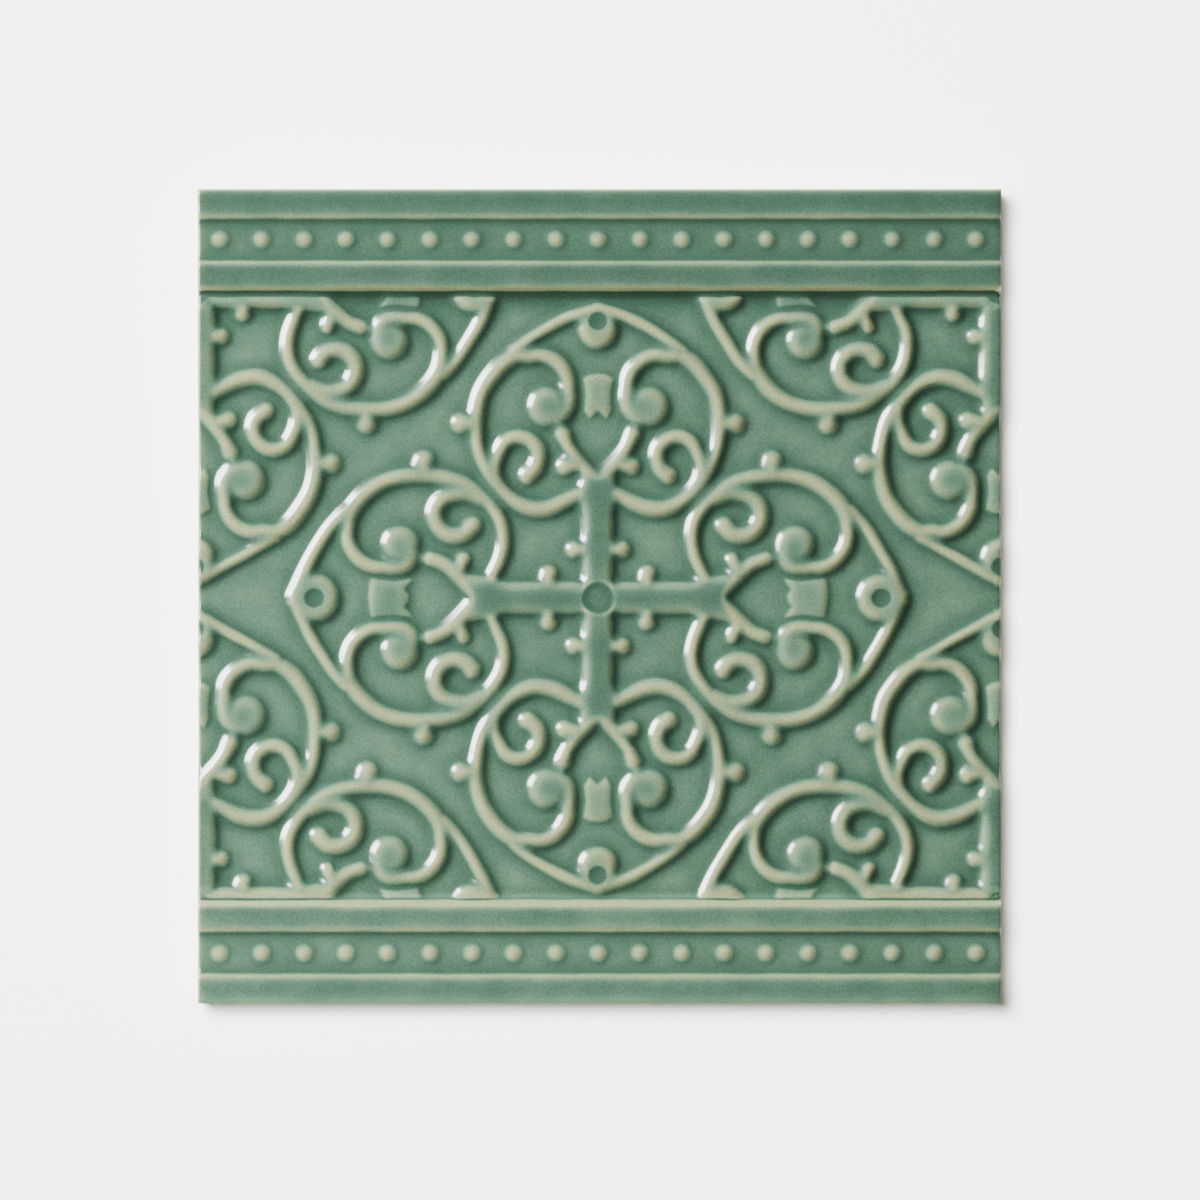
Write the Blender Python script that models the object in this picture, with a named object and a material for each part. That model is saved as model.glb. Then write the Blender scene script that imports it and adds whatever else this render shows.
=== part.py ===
"""Relief wall tile, pressed from one piece of clay and glazed.

The tile lies face up. X runs across it, Y runs up the wall, Z points out of the wall, and the
origin is the middle of the flat back. Two beaded mouldings frame a sunk field. The field holds one
motif of scrollwork on each arm of a cross, and the same cross again at each corner, half a repeat
away, where the edges of the tile cut through it.
"""

from math import cos, hypot, pi, radians, sin

import bmesh
import bpy

MM = 0.001

# Outline of the tile and the height of its sunk field above the back
TILE_WIDTH = 150.0
TILE_HEIGHT = 152.0
FIELD_Z = 8.2

# Heights above the sunk field
BAND_RISE = 2.8
CHANNEL_RISE = 1.6
RIDGE_RISE = 2.3
ARM_RISE = 2.0
TOOTH_RISE = 1.7
BUD_RISE = 2.2
ROOT = 1.0

# Mouldings along the top and bottom, as distances from the outer edge
OUTER_BAND = (0.0, 5.5)
INNER_BAND = (13.4, 19.2)
BAND_SAG = 0.45
ARRIS = 0.5
WALL_RUN = 0.5
BEAD_LINE = 9.5
BEAD_COUNT = 19
BEAD_PITCH = 7.84
BEAD_RADIUS = 1.65
BEAD_RISE = 0.95

# Repeat of the ornament, and how far its middle lies from the middle of the tile
ORNAMENT_MIDDLE = (-0.35, -0.3)
HALF_REPEAT = (75.15, 57.85)

# One half of a motif, as (distance along the arm, distance to the side, half the ridge's width)
RIM_LOBE = (
    (52.6, 9.8, 1.1),
    (48.6, 15.6, 1.1),
    (45.4, 18.7, 1.15),
    (42.0, 21.0, 1.2),
    (38.0, 22.7, 1.3),
    (34.0, 23.1, 1.3),
    (28.6, 22.5, 1.3),
    (23.6, 20.6, 1.25),
    (20.2, 17.8, 1.15),
    (18.3, 14.8, 1.05),
    (17.5, 11.5, 1.0),
    (18.0, 8.3, 1.05),
    (20.0, 3.2, 1.1),
)
LONG_TIP = ((57.0, -0.4, 1.1), (56.1, 3.0, 1.1))
BLUNT_TIP = ((55.6, -0.4, 1.1), (55.2, 3.0, 1.1))
LONG_SCALE = 1.0
BLUNT_SCALE = 0.975

INNER_SCROLL_STEM = ((46.4, 17.2, 1.0), (46.8, 14.5, 0.95))
INNER_SCROLL_MIDDLE = (40.4, 12.0)
INNER_SCROLL_RADII = (6.4, 6.6)
INNER_SCROLL_TURN = (0.0, -122.0)
INNER_SCROLL_WIDTHS = (1.0, 1.35)

DISC_MIDDLE = (36.8, 9.9)
DISC_RADIUS = 3.5

SMALL_SCROLL_STEM = ((19.8, 17.0, 1.1), (22.3, 19.0, 1.4))
SMALL_SCROLL_MIDDLE = (26.3, 15.2)
SMALL_SCROLL_RADII = (4.6, 3.0)
SMALL_SCROLL_TURN = (102.0, -150.0)
SMALL_SCROLL_WIDTHS = (1.5, 1.3)

PRONG = ((32.1, 7.25, 0.95), (29.6, 6.6, 1.0), (26.9, 4.6, 1.1), (23.6, 1.0, 1.1))
THORN = ((26.3, 4.9, 1.1), (25.0, 7.3, 0.85))
RIM_BUD = ((32.2, 23.4, 1.35), (33.0, 26.1, 1.8))
ARM_BUD = ((9.8, 3.0, 1.3), (9.2, 5.0, 1.35))

# Flat pieces on the arm's own line
ARM_HALF_WIDTH = 3.3
CROTCH = ((18.4, 3.3), (20.2, 4.5), (25.4, 4.5), (24.2, 0.7))
EYE_MIDDLE = 53.1
EYE_RADIUS = 4.65
EYE_HOLE_RADIUS = 1.7
EYE_HOLE_FLOOR = 0.3
TOOTH_BACK = (42.6, 43.1)
TOOTH_FRONT = (34.4, 35.8)
LONG_TOOTH_HALF_WIDTH = 3.85
BLUNT_TOOTH_HALF_WIDTH = 3.1
HUB_RADIUS = 4.1
HUB_HOLE_RADIUS = 3.1
HUB_HOLE_FLOOR = 0.9

# Fineness of the faceted solid
SCROLL_STEPS = 6
DISC_SIDES = 10
BEAD_SIDES = 8
HOLE_SIDES = 12
SECTION = ((1.0, 0.0), (0.5, 1.0))
CAP_SECTIONS = ((0.8, 0.5, 0.6),)


class Motif:
    """Where one motif stands: its cross's middle, the way its arm points, and its proportions."""

    def __init__(self, middle, along, blunt):
        self.middle = middle
        self.along = along
        self.aside = (-along[1], along[0])
        self.scale = BLUNT_SCALE if blunt else LONG_SCALE
        self.tip = BLUNT_TIP if blunt else LONG_TIP
        self.tooth_half_width = BLUNT_TOOTH_HALF_WIDTH if blunt else LONG_TOOTH_HALF_WIDTH

    def place(self, reach, offset):
        reach *= self.scale
        offset *= self.scale
        return (
            self.middle[0] + reach * self.along[0] + offset * self.aside[0],
            self.middle[1] + reach * self.along[1] + offset * self.aside[1],
        )


def clear_scene():
    for obj in list(bpy.data.objects):
        bpy.data.objects.remove(obj, do_unlink=True)


def new_collection(name):
    collection = bpy.data.collections.new(name)
    bpy.context.scene.collection.children.link(collection)
    return collection


def add_object(name, bm, collection, helper=True):
    """Turns a closed bmesh, in millimetres, into an object whose faces point outwards."""
    bmesh.ops.recalc_face_normals(bm, faces=bm.faces)
    bmesh.ops.scale(bm, vec=(MM, MM, MM), verts=bm.verts)
    mesh = bpy.data.meshes.new(name)
    bm.to_mesh(mesh)
    bm.free()
    obj = bpy.data.objects.new(name, mesh)
    collection.objects.link(obj)
    if helper:
        obj.hide_render = True
        obj.display_type = "WIRE"
    return obj


def spiral_path(middle, radii, turn, widths):
    """Points of a spiral whose radius and width change evenly with the angle."""
    path = []
    for step in range(SCROLL_STEPS + 1):
        t = step / SCROLL_STEPS
        angle = radians(turn[0] + t * (turn[1] - turn[0]))
        radius = radii[0] + t * (radii[1] - radii[0])
        width = widths[0] + t * (widths[1] - widths[0])
        path.append((middle[0] + radius * cos(angle), middle[1] + radius * sin(angle), width))
    return path


def directions(path):
    """The unit direction at each point of a path of (x, y, half width)."""
    found = []
    for i in range(len(path)):
        before, after = path[max(i - 1, 0)], path[min(i + 1, len(path) - 1)]
        dx, dy = after[0] - before[0], after[1] - before[1]
        length = hypot(dx, dy)
        found.append((dx / length, dy / length))
    return found


def ridge(name, motif, points, collection, rise=RIDGE_RISE, round_end=False):
    """A rounded ridge swept along a path in the motif, from its root inside the slab."""
    path = [(*motif.place(reach, offset), width * motif.scale) for reach, offset, width in points]
    ways = directions(path)
    stations = [(x, y, dx, dy, w, 1.0) for (x, y, w), (dx, dy) in zip(path, ways)]
    if round_end:
        x, y, dx, dy, w, _ = stations[-1]
        for ahead, narrow, low in CAP_SECTIONS:
            stations.append((x + dx * w * ahead, y + dy * w * ahead, dx, dy, w * narrow, low))
    bm = bmesh.new()
    loops = []
    for x, y, dx, dy, w, tall in stations:
        outline = [(-1.0, -ROOT / rise), *((-s, u * tall) for s, u in SECTION)]
        outline += [(s, u * tall) for s, u in reversed(SECTION)]
        outline.append((1.0, -ROOT / rise))
        loops.append(
            [
                bm.verts.new((x - dy * s * w, y + dx * s * w, FIELD_Z + u * rise))
                for s, u in outline
            ]
        )
    for first, second in zip(loops, loops[1:]):
        for i in range(len(first)):
            j = (i + 1) % len(first)
            bm.faces.new((first[i], first[j], second[j], second[i]))
    bm.faces.new(loops[0])
    bm.faces.new(loops[-1])
    return add_object(name, bm, collection)


def turned(name, middle, profile, sides, collection):
    """A solid of revolution from (radius, height) points, with flat ends."""
    bm = bmesh.new()
    loops = []
    for radius, height in profile:
        ring = []
        for i in range(sides):
            angle = 2 * pi * (i + 0.5) / sides
            ring.append(
                bm.verts.new(
                    (middle[0] + radius * cos(angle), middle[1] + radius * sin(angle), height)
                )
            )
        loops.append(ring)
    for first, second in zip(loops, loops[1:]):
        for i in range(sides):
            j = (i + 1) % sides
            bm.faces.new((first[i], first[j], second[j], second[i]))
    bm.faces.new(loops[0])
    bm.faces.new(loops[-1])
    return add_object(name, bm, collection)


def plateau(name, outline, rise, collection, edge=0.45):
    """A flat-topped solid over an outline, with a sloping edge all round."""
    bm = bmesh.new()
    base = bm.faces.new([bm.verts.new((x, y, FIELD_Z - ROOT)) for x, y in outline])
    bmesh.ops.recalc_face_normals(bm, faces=[base])
    raised = bmesh.ops.extrude_face_region(bm, geom=[base])["geom"]
    top_verts = [v for v in raised if isinstance(v, bmesh.types.BMVert)]
    bmesh.ops.translate(bm, vec=(0, 0, ROOT + rise), verts=top_verts)
    bm.normal_update()
    top = [f for f in bm.faces if all(v in top_verts for v in f.verts)]
    bmesh.ops.inset_region(bm, faces=top, thickness=edge, depth=0.0)
    for vert in top_verts:
        vert.co.z -= edge
    return add_object(name, bm, collection)


def moulding_section(side):
    """Points of one moulding from the outer edge inwards, as (y, z), on the side given by sign."""
    top = FIELD_Z + BAND_RISE
    channel = FIELD_Z + CHANNEL_RISE
    points = [(OUTER_BAND[0], top - ARRIS), (OUTER_BAND[0] + ARRIS, top)]
    points += band_hollow(OUTER_BAND[0] + ARRIS, OUTER_BAND[1] - 0.3, top)
    points += [(OUTER_BAND[1], top - 0.2), (OUTER_BAND[1] + WALL_RUN, channel)]
    points += [(INNER_BAND[0] - WALL_RUN, channel), (INNER_BAND[0], top - 0.2)]
    points += [(INNER_BAND[0] + 0.3, top)]
    points += band_hollow(INNER_BAND[0] + 0.3, INNER_BAND[1] - 0.3, top)
    points += [(INNER_BAND[1], top - 0.2), (INNER_BAND[1] + WALL_RUN, FIELD_Z + 0.4)]
    points += [(INNER_BAND[1] + 2 * WALL_RUN, FIELD_Z)]
    return [(side * (TILE_HEIGHT / 2 - inwards), z) for inwards, z in points]


def band_hollow(start, end, top):
    """The shallow hollow across the top of a band, up to and including its far arris."""
    return [
        (start + (end - start) * t, top - BAND_SAG * 4 * t * (1 - t)) for t in (0.25, 0.5, 0.75, 1.0)
    ]


def slab():
    """The tile's slab with its mouldings: one section drawn across Y and extruded along X."""
    overrun = 2.0
    upper = moulding_section(1)
    lower = moulding_section(-1)
    outline = [(TILE_HEIGHT / 2, 0.0), *upper, *reversed(lower), (-TILE_HEIGHT / 2, 0.0)]
    bm = bmesh.new()
    start = -TILE_WIDTH / 2 - overrun
    face = bm.faces.new([bm.verts.new((start, y, z)) for y, z in outline])
    raised = bmesh.ops.extrude_face_region(bm, geom=[face])["geom"]
    end_verts = [v for v in raised if isinstance(v, bmesh.types.BMVert)]
    bmesh.ops.translate(bm, vec=(TILE_WIDTH + 2 * overrun, 0, 0), verts=end_verts)
    return add_object("tile", bm, bpy.context.scene.collection, helper=False)


def dome(radius, rise, floor=FIELD_Z):
    """Radii and heights of a low dome with a rounded edge."""
    return (
        (radius, floor - ROOT),
        (radius, floor),
        (radius * 0.86, floor + rise * 0.7),
        (radius * 0.5, floor + rise),
    )


def half_motif(label, motif, mirrored, raised):
    """Everything on one side of a motif's arm."""
    side = -1 if mirrored else 1

    def sided(points):
        return [(reach, side * offset, width) for reach, offset, width in points]

    tip = [(reach / motif.scale, offset, width) for reach, offset, width in motif.tip]
    ridge(f"rim_{label}", motif, sided([*tip, *RIM_LOBE]), raised)
    inner = spiral_path(
        INNER_SCROLL_MIDDLE, INNER_SCROLL_RADII, INNER_SCROLL_TURN, INNER_SCROLL_WIDTHS
    )
    ridge(f"inner_scroll_{label}", motif, sided([*INNER_SCROLL_STEM, *inner]), raised)
    small = spiral_path(
        SMALL_SCROLL_MIDDLE, SMALL_SCROLL_RADII, SMALL_SCROLL_TURN, SMALL_SCROLL_WIDTHS
    )
    ridge(
        f"small_scroll_{label}", motif, sided([*SMALL_SCROLL_STEM, *small]), raised, round_end=True
    )
    ridge(f"prong_{label}", motif, sided(PRONG[::-1]), raised, round_end=True)
    ridge(f"thorn_{label}", motif, sided(THORN), raised, BUD_RISE, round_end=True)
    ridge(f"rim_bud_{label}", motif, sided(RIM_BUD), raised, BUD_RISE, round_end=True)
    ridge(f"arm_bud_{label}", motif, sided(ARM_BUD), raised, BUD_RISE, round_end=True)
    disc = motif.place(DISC_MIDDLE[0], side * DISC_MIDDLE[1])
    turned(f"disc_{label}", disc, dome(DISC_RADIUS, RIDGE_RISE), DISC_SIDES, raised)


def arm_outline(motif):
    """The flat arm with its widened fork, from the middle of the cross outwards."""
    one_side = [(0.5, ARM_HALF_WIDTH), *CROTCH]
    other_side = [(reach, -offset) for reach, offset in reversed(one_side)]
    return [motif.place(reach, offset) for reach, offset in [*one_side, *other_side]]


def tooth_outline(motif):
    """The square collar between the discs, with a bulged back and a notched front."""
    half = motif.tooth_half_width / motif.scale
    back = [(TOOTH_BACK[0], half), (TOOTH_BACK[1], 0.0), (TOOTH_BACK[0], -half)]
    front = [
        (TOOTH_FRONT[0], -half),
        (TOOTH_FRONT[0] + 0.1, -half * 0.72),
        (TOOTH_FRONT[1], 0.0),
        (TOOTH_FRONT[0] + 0.1, half * 0.72),
        (TOOTH_FRONT[0], half),
    ]
    return [motif.place(reach, offset) for reach, offset in back + front]


def arm_and_collar(label, motif, raised, sunk):
    """What stands on the arm's own line: the arm, its collar and the eye at the tip."""
    plateau(f"arm_{label}", arm_outline(motif), ARM_RISE, raised)
    plateau(f"collar_{label}", tooth_outline(motif), TOOTH_RISE, raised)
    eye = motif.place(EYE_MIDDLE, 0.0)
    rim = (
        (EYE_RADIUS * motif.scale, FIELD_Z - ROOT),
        (EYE_RADIUS * motif.scale, FIELD_Z),
        (EYE_RADIUS * motif.scale * 0.86, FIELD_Z + RIDGE_RISE * 0.85),
        (EYE_RADIUS * motif.scale * 0.6, FIELD_Z + RIDGE_RISE * 0.98),
    )
    turned(f"eye_{label}", eye, rim, HOLE_SIDES, raised)
    hole(f"eye_hole_{label}", eye, EYE_HOLE_RADIUS, EYE_HOLE_FLOOR, sunk)


def hole(name, middle, radius, floor, sunk):
    """A cutter for a round hole that stops above the sunk field."""
    well_above = FIELD_Z + 2 * BAND_RISE
    turned(
        name, middle, ((radius, FIELD_Z + floor), (radius, well_above)), HOLE_SIDES, sunk
    )


def ornament(raised, sunk):
    """The cross in the middle and the four corner crosses that the tile's edges cut."""
    mid_x, mid_y = ORNAMENT_MIDDLE
    ways = {"right": (1, 0), "up": (0, 1), "left": (-1, 0), "down": (0, -1)}
    hub("middle", ORNAMENT_MIDDLE, raised, sunk)
    for name, along in ways.items():
        motif = Motif(ORNAMENT_MIDDLE, along, blunt=along[0] == 0)
        arm_and_collar(name, motif, raised, sunk)
        half_motif(f"{name}_a", motif, False, raised)
        half_motif(f"{name}_b", motif, True, raised)
    for x_side, y_side in ((-1, 1), (1, 1), (1, -1), (-1, -1)):
        corner = (mid_x + x_side * HALF_REPEAT[0], mid_y + y_side * HALF_REPEAT[1])
        label = f"{'left' if x_side < 0 else 'right'}_{'top' if y_side > 0 else 'bottom'}"
        hub(label, corner, raised, sunk)
        across = Motif(corner, (-x_side, 0), blunt=False)
        upright = Motif(corner, (0, -y_side), blunt=True)
        arm_and_collar(f"{label}_across", across, raised, sunk)
        arm_and_collar(f"{label}_upright", upright, raised, sunk)
        half_motif(f"{label}_across", across, across.aside[1] == y_side, raised)
        half_motif(f"{label}_upright", upright, upright.aside[0] == x_side, raised)


def hub(label, middle, raised, sunk):
    """The round boss where the arms cross, with its dished middle."""
    radius = HUB_RADIUS
    profile = (
        (radius, FIELD_Z - ROOT),
        (radius, FIELD_Z + ARM_RISE * 0.8),
        (radius * 0.9, FIELD_Z + ARM_RISE + 0.05),
    )
    turned(f"hub_{label}", middle, profile, HOLE_SIDES, raised)
    hole(f"hub_dish_{label}", middle, HUB_HOLE_RADIUS, HUB_HOLE_FLOOR, sunk)


def beads(raised):
    """The two rows of beads in the channels of the mouldings."""
    floor = FIELD_Z + CHANNEL_RISE
    first = ORNAMENT_MIDDLE[0] - BEAD_PITCH * (BEAD_COUNT - 1) / 2
    profile = (
        (BEAD_RADIUS, floor - ROOT),
        (BEAD_RADIUS, floor),
        (BEAD_RADIUS * 0.5, floor + BEAD_RISE),
    )
    for row, side in (("top", 1), ("bottom", -1)):
        y = side * (TILE_HEIGHT / 2 - BEAD_LINE)
        for i in range(BEAD_COUNT):
            turned(f"bead_{row}_{i}", (first + i * BEAD_PITCH, y), profile, BEAD_SIDES, raised)


def trim_box():
    """The block that the finished tile is cut to at its left and right edges."""
    bm = bmesh.new()
    bmesh.ops.create_cube(bm, size=1.0)
    bmesh.ops.scale(bm, vec=(TILE_WIDTH, 2 * TILE_HEIGHT, 10 * FIELD_Z), verts=bm.verts)
    return add_object("trim_box", bm, bpy.context.scene.collection)


def combine(obj, name, operation, operand):
    modifier = obj.modifiers.new(name, "BOOLEAN")
    modifier.operation = operation
    modifier.solver = "EXACT"
    if isinstance(operand, bpy.types.Collection):
        modifier.operand_type = "COLLECTION"
        modifier.collection = operand
    else:
        modifier.object = operand
    return modifier


def glaze():
    """Sea-green transparent glaze over a pale body."""
    material = bpy.data.materials.new("sea_green_glaze")
    material.use_nodes = True
    shader = material.node_tree.nodes["Principled BSDF"]
    shader.inputs["Base Color"].default_value = (0.17, 0.33, 0.24, 1.0)
    shader.inputs["Roughness"].default_value = 0.12
    shader.inputs["Metallic"].default_value = 0.0
    return material


def main():
    clear_scene()
    raised = new_collection("raised_work")
    sunk = new_collection("sunk_work")
    ornament(raised, sunk)
    beads(raised)
    tile = slab()
    combine(tile, "raised", "UNION", raised)
    combine(tile, "sunk", "DIFFERENCE", sunk)
    combine(tile, "trimmed", "INTERSECT", trim_box())
    tile.data.materials.append(glaze())


main()
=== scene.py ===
"""The looks of a pressed and glazed relief wall tile, lying face up on a pale studio floor.

The face is drawn as one height map in millimetres: the mouldings, the beads and the scrollwork are
pressed into it, the glaze is levelled over them, and the depth of glaze that this leaves at each
point, with painted shade and painted light added to it, gives the colour. The height map becomes
the top of one closed mesh, with sides and a back.
"""

from __future__ import annotations

import logging
from collections.abc import Iterator
from dataclasses import dataclass, field, replace
from enum import Enum
from math import cos, hypot, pi, radians, sin

import bpy
import numpy as np
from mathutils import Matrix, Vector


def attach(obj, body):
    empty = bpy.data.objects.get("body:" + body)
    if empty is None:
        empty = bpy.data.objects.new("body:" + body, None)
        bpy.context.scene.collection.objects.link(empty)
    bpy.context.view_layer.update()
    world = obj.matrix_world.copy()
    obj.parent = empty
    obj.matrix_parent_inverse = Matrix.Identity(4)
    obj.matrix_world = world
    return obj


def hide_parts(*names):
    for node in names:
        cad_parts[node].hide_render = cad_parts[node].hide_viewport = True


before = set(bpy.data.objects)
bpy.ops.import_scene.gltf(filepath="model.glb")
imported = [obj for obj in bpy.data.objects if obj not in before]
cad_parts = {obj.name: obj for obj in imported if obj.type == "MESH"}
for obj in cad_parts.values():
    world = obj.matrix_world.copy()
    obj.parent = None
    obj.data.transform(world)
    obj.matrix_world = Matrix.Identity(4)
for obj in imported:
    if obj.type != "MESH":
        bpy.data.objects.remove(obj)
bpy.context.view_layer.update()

LOG = logging.getLogger("relief_tile")
MM = 0.001
# Keeps a division by a path's or an edge's length from failing where that length is nought
TINY = 1e-9

Point = tuple[float, float]
Station = tuple[float, float, float]
ColourStops = tuple[tuple[float, str], ...]


class Proportions(Enum):
    """The two lengths in which the motif is drawn."""

    LONG = "along the rows, with a pointed tip"
    BLUNT = "along the columns, with a rounded tip"


@dataclass(frozen=True)
class Spiral:
    """A round stretch of a scroll whose radius and width change evenly along it."""

    middle: Point
    radii: tuple[float, float]
    turn: tuple[float, float]
    half_widths: tuple[float, float]

    def stations(self, steps: int = 7) -> list[Station]:
        """The points along the spiral.

        Args:
            steps: How many stretches it is cut into.

        Returns:
            (reach, offset, half width) at each point.
        """
        found = []
        for step in range(steps + 1):
            t = step / steps
            angle = radians(self.turn[0] + t * (self.turn[1] - self.turn[0]))
            radius = self.radii[0] + t * (self.radii[1] - self.radii[0])
            width = self.half_widths[0] + t * (self.half_widths[1] - self.half_widths[0])
            reach = self.middle[0] + radius * cos(angle)
            found.append((reach, self.middle[1] + radius * sin(angle), width))
        return found


def smooth_path(stations: list[Station] | tuple[Station, ...], steps: int = 8) -> list[Station]:
    """A Catmull-Rom curve through the stations.

    Args:
        stations: (reach, offset, half width) points, in order.
        steps: How many points to put on each stretch.

    Returns:
        The points of the curve, both ends included.
    """
    path = []
    last = len(stations) - 1
    for i in range(last):
        around = stations[max(i - 1, 0)], stations[i], stations[i + 1], stations[min(i + 2, last)]
        for step in range(steps):
            t = step / steps
            path.append(
                tuple(
                    0.5
                    * (
                        2 * b
                        + (c - a) * t
                        + (2 * a - 5 * b + 4 * c - d) * t * t
                        + (3 * b - a - 3 * c + d) * t**3
                    )
                    for a, b, c, d in zip(*around)
                )
            )
    path.append(tuple(stations[last]))
    return path


@dataclass(frozen=True)
class MotifShape:
    """One half of a motif, in mm from the middle of its cross: along the arm, then to the side.

    Ridges are (reach, offset, half width) points, and outlines are (reach, offset) points from the
    arm's own line round one side and back to it.
    """

    rim: tuple[Station, ...]
    inner_scroll: Spiral
    inner_scroll_tail: tuple[Station, ...]
    tip: tuple[Station, ...]
    disc: Station
    small_scroll_stem: tuple[Station, ...]
    small_scroll: Spiral
    prong: tuple[Station, ...]
    thorn: tuple[Station, ...]
    rim_bud: tuple[Station, ...]
    arm_bud: tuple[Station, ...]
    eye: Point
    eye_hole: Point
    collar: tuple[Point, ...]
    arm: tuple[Point, ...]

    def ridges(self) -> Iterator[list[Station]]:
        """Every rounded ridge of the half motif, as a fine path."""
        yield smooth_path([*self.rim, *self.inner_scroll.stations(), *self.inner_scroll_tail])
        yield smooth_path([*self.small_scroll_stem, *self.small_scroll.stations()])
        for short in (self.tip, self.prong, self.thorn, self.rim_bud, self.arm_bud):
            yield smooth_path(short)


SHAPES = {
    Proportions.LONG: MotifShape(
        rim=(
            (20.0, 3.4, 1.05), (19.0, 5.6, 0.95), (17.9, 8.4, 1.0), (17.55, 11.5, 1.05),
            (18.4, 14.8, 1.1), (20.9, 18.3, 1.2), (24.5, 21.0, 1.3), (28.0, 22.3, 1.35),
            (32.0, 22.9, 1.4), (36.0, 22.8, 1.35), (39.8, 21.8, 1.3), (42.8, 20.0, 1.4),
            (45.1, 17.7, 1.45), (46.4, 15.3, 1.35),
        ),
        inner_scroll=Spiral((40.5, 11.8), (6.3, 6.15), (12.0, -95.0), (1.1, 1.15)),
        inner_scroll_tail=(
            (38.4, 5.55, 1.25), (36.5, 5.85, 1.3), (35.2, 6.9, 1.35), (34.8, 8.6, 1.2),
        ),
        tip=(
            (56.8, -0.6, 1.1), (56.1, 1.7, 1.15), (54.4, 5.8, 1.0), (52.2, 9.7, 0.9),
            (49.9, 13.3, 0.9), (48.0, 15.5, 0.9), (46.9, 16.5, 0.9),
        ),
        disc=(36.9, 9.9, 3.6),
        small_scroll_stem=((21.5, 18.6, 1.5), (24.6, 19.7, 1.6)),
        small_scroll=Spiral((26.6, 15.35), (4.0, 3.65), (75.0, -149.0), (1.45, 1.5)),
        prong=(
            (23.4, 0.9, 1.1), (25.0, 2.9, 1.35), (26.8, 4.8, 1.4), (28.9, 6.4, 1.2),
            (31.4, 7.35, 1.1),
        ),
        thorn=((26.0, 5.0, 1.2), (25.1, 7.3, 1.0)),
        rim_bud=((32.2, 23.3, 1.0), (32.5, 24.6, 1.3), (32.6, 25.5, 1.85)),
        arm_bud=((9.3, 2.4, 0.9), (9.2, 3.6, 1.1), (9.2, 4.4, 1.45)),
        eye=(52.95, 4.7),
        eye_hole=(52.95, 1.75),
        collar=(
            (43.1, 0.0), (42.9, 2.4), (42.5, 3.9), (38.0, 3.5), (34.4, 3.8),
            (35.2, 2.7), (35.9, 1.6), (35.3, 0.8), (35.2, 0.0),
        ),
        arm=(
            (0.0, 3.3), (17.0, 3.35), (19.0, 3.9), (21.5, 4.4), (24.0, 4.8),
            (25.6, 4.8), (25.6, 3.2), (24.4, 1.2), (23.9, 0.0),
        ),
    ),
    Proportions.BLUNT: MotifShape(
        rim=(
            (19.4, 3.6, 1.25), (18.2, 5.8, 1.35), (16.9, 8.8, 1.45), (16.6, 12.0, 1.45),
            (17.9, 15.4, 1.3), (20.6, 18.5, 1.1), (24.0, 20.9, 1.0), (27.0, 22.1, 0.98),
            (30.5, 22.7, 1.1), (34.5, 22.7, 1.3), (38.2, 21.8, 1.35), (41.1, 20.1, 1.4),
            (43.7, 17.9, 1.4), (45.2, 15.4, 1.3),
        ),
        inner_scroll=Spiral((39.4, 11.35), (5.95, 5.85), (15.0, -95.0), (1.2, 1.25)),
        inner_scroll_tail=(
            (37.6, 5.35, 1.25), (35.8, 5.55, 1.3), (34.3, 6.5, 1.3), (33.4, 7.9, 1.0),
        ),
        tip=(
            (54.1, -0.4, 1.0), (53.6, 2.0, 0.95), (52.2, 6.0, 0.9), (50.2, 9.9, 0.8),
            (48.0, 13.3, 0.8), (46.7, 15.0, 0.8), (45.9, 15.9, 0.8),
        ),
        disc=(35.65, 9.45, 3.8),
        small_scroll_stem=((19.4, 17.0, 0.9), (22.0, 19.0, 1.05), (24.8, 19.3, 1.05)),
        small_scroll=Spiral((26.3, 14.8), (3.75, 3.75), (72.0, -155.0), (1.1, 1.45)),
        prong=(
            (22.6, 0.8, 1.15), (24.8, 3.0, 1.2), (26.8, 4.6, 1.1), (28.5, 5.7, 1.05),
            (30.6, 6.6, 1.4),
        ),
        thorn=((24.8, 4.2, 1.0), (24.6, 6.2, 1.5)),
        rim_bud=((32.5, 23.0, 1.0), (32.6, 24.5, 1.3), (32.6, 25.5, 1.8)),
        arm_bud=((9.1, 2.4, 0.9), (9.0, 3.6, 1.1), (9.0, 4.4, 1.45)),
        eye=(50.1, 3.75),
        eye_hole=(51.75, 1.72),
        collar=(
            (42.1, 0.0), (41.9, 1.6), (41.1, 3.0), (38.0, 2.6), (35.0, 2.7),
            (33.3, 1.6), (34.7, 0.0),
        ),
        arm=(
            (0.0, 3.2), (15.5, 3.25), (18.0, 3.8), (21.0, 3.8), (23.5, 3.7),
            (24.5, 3.2), (23.3, 1.0), (22.9, 0.0),
        ),
    ),
}
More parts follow.
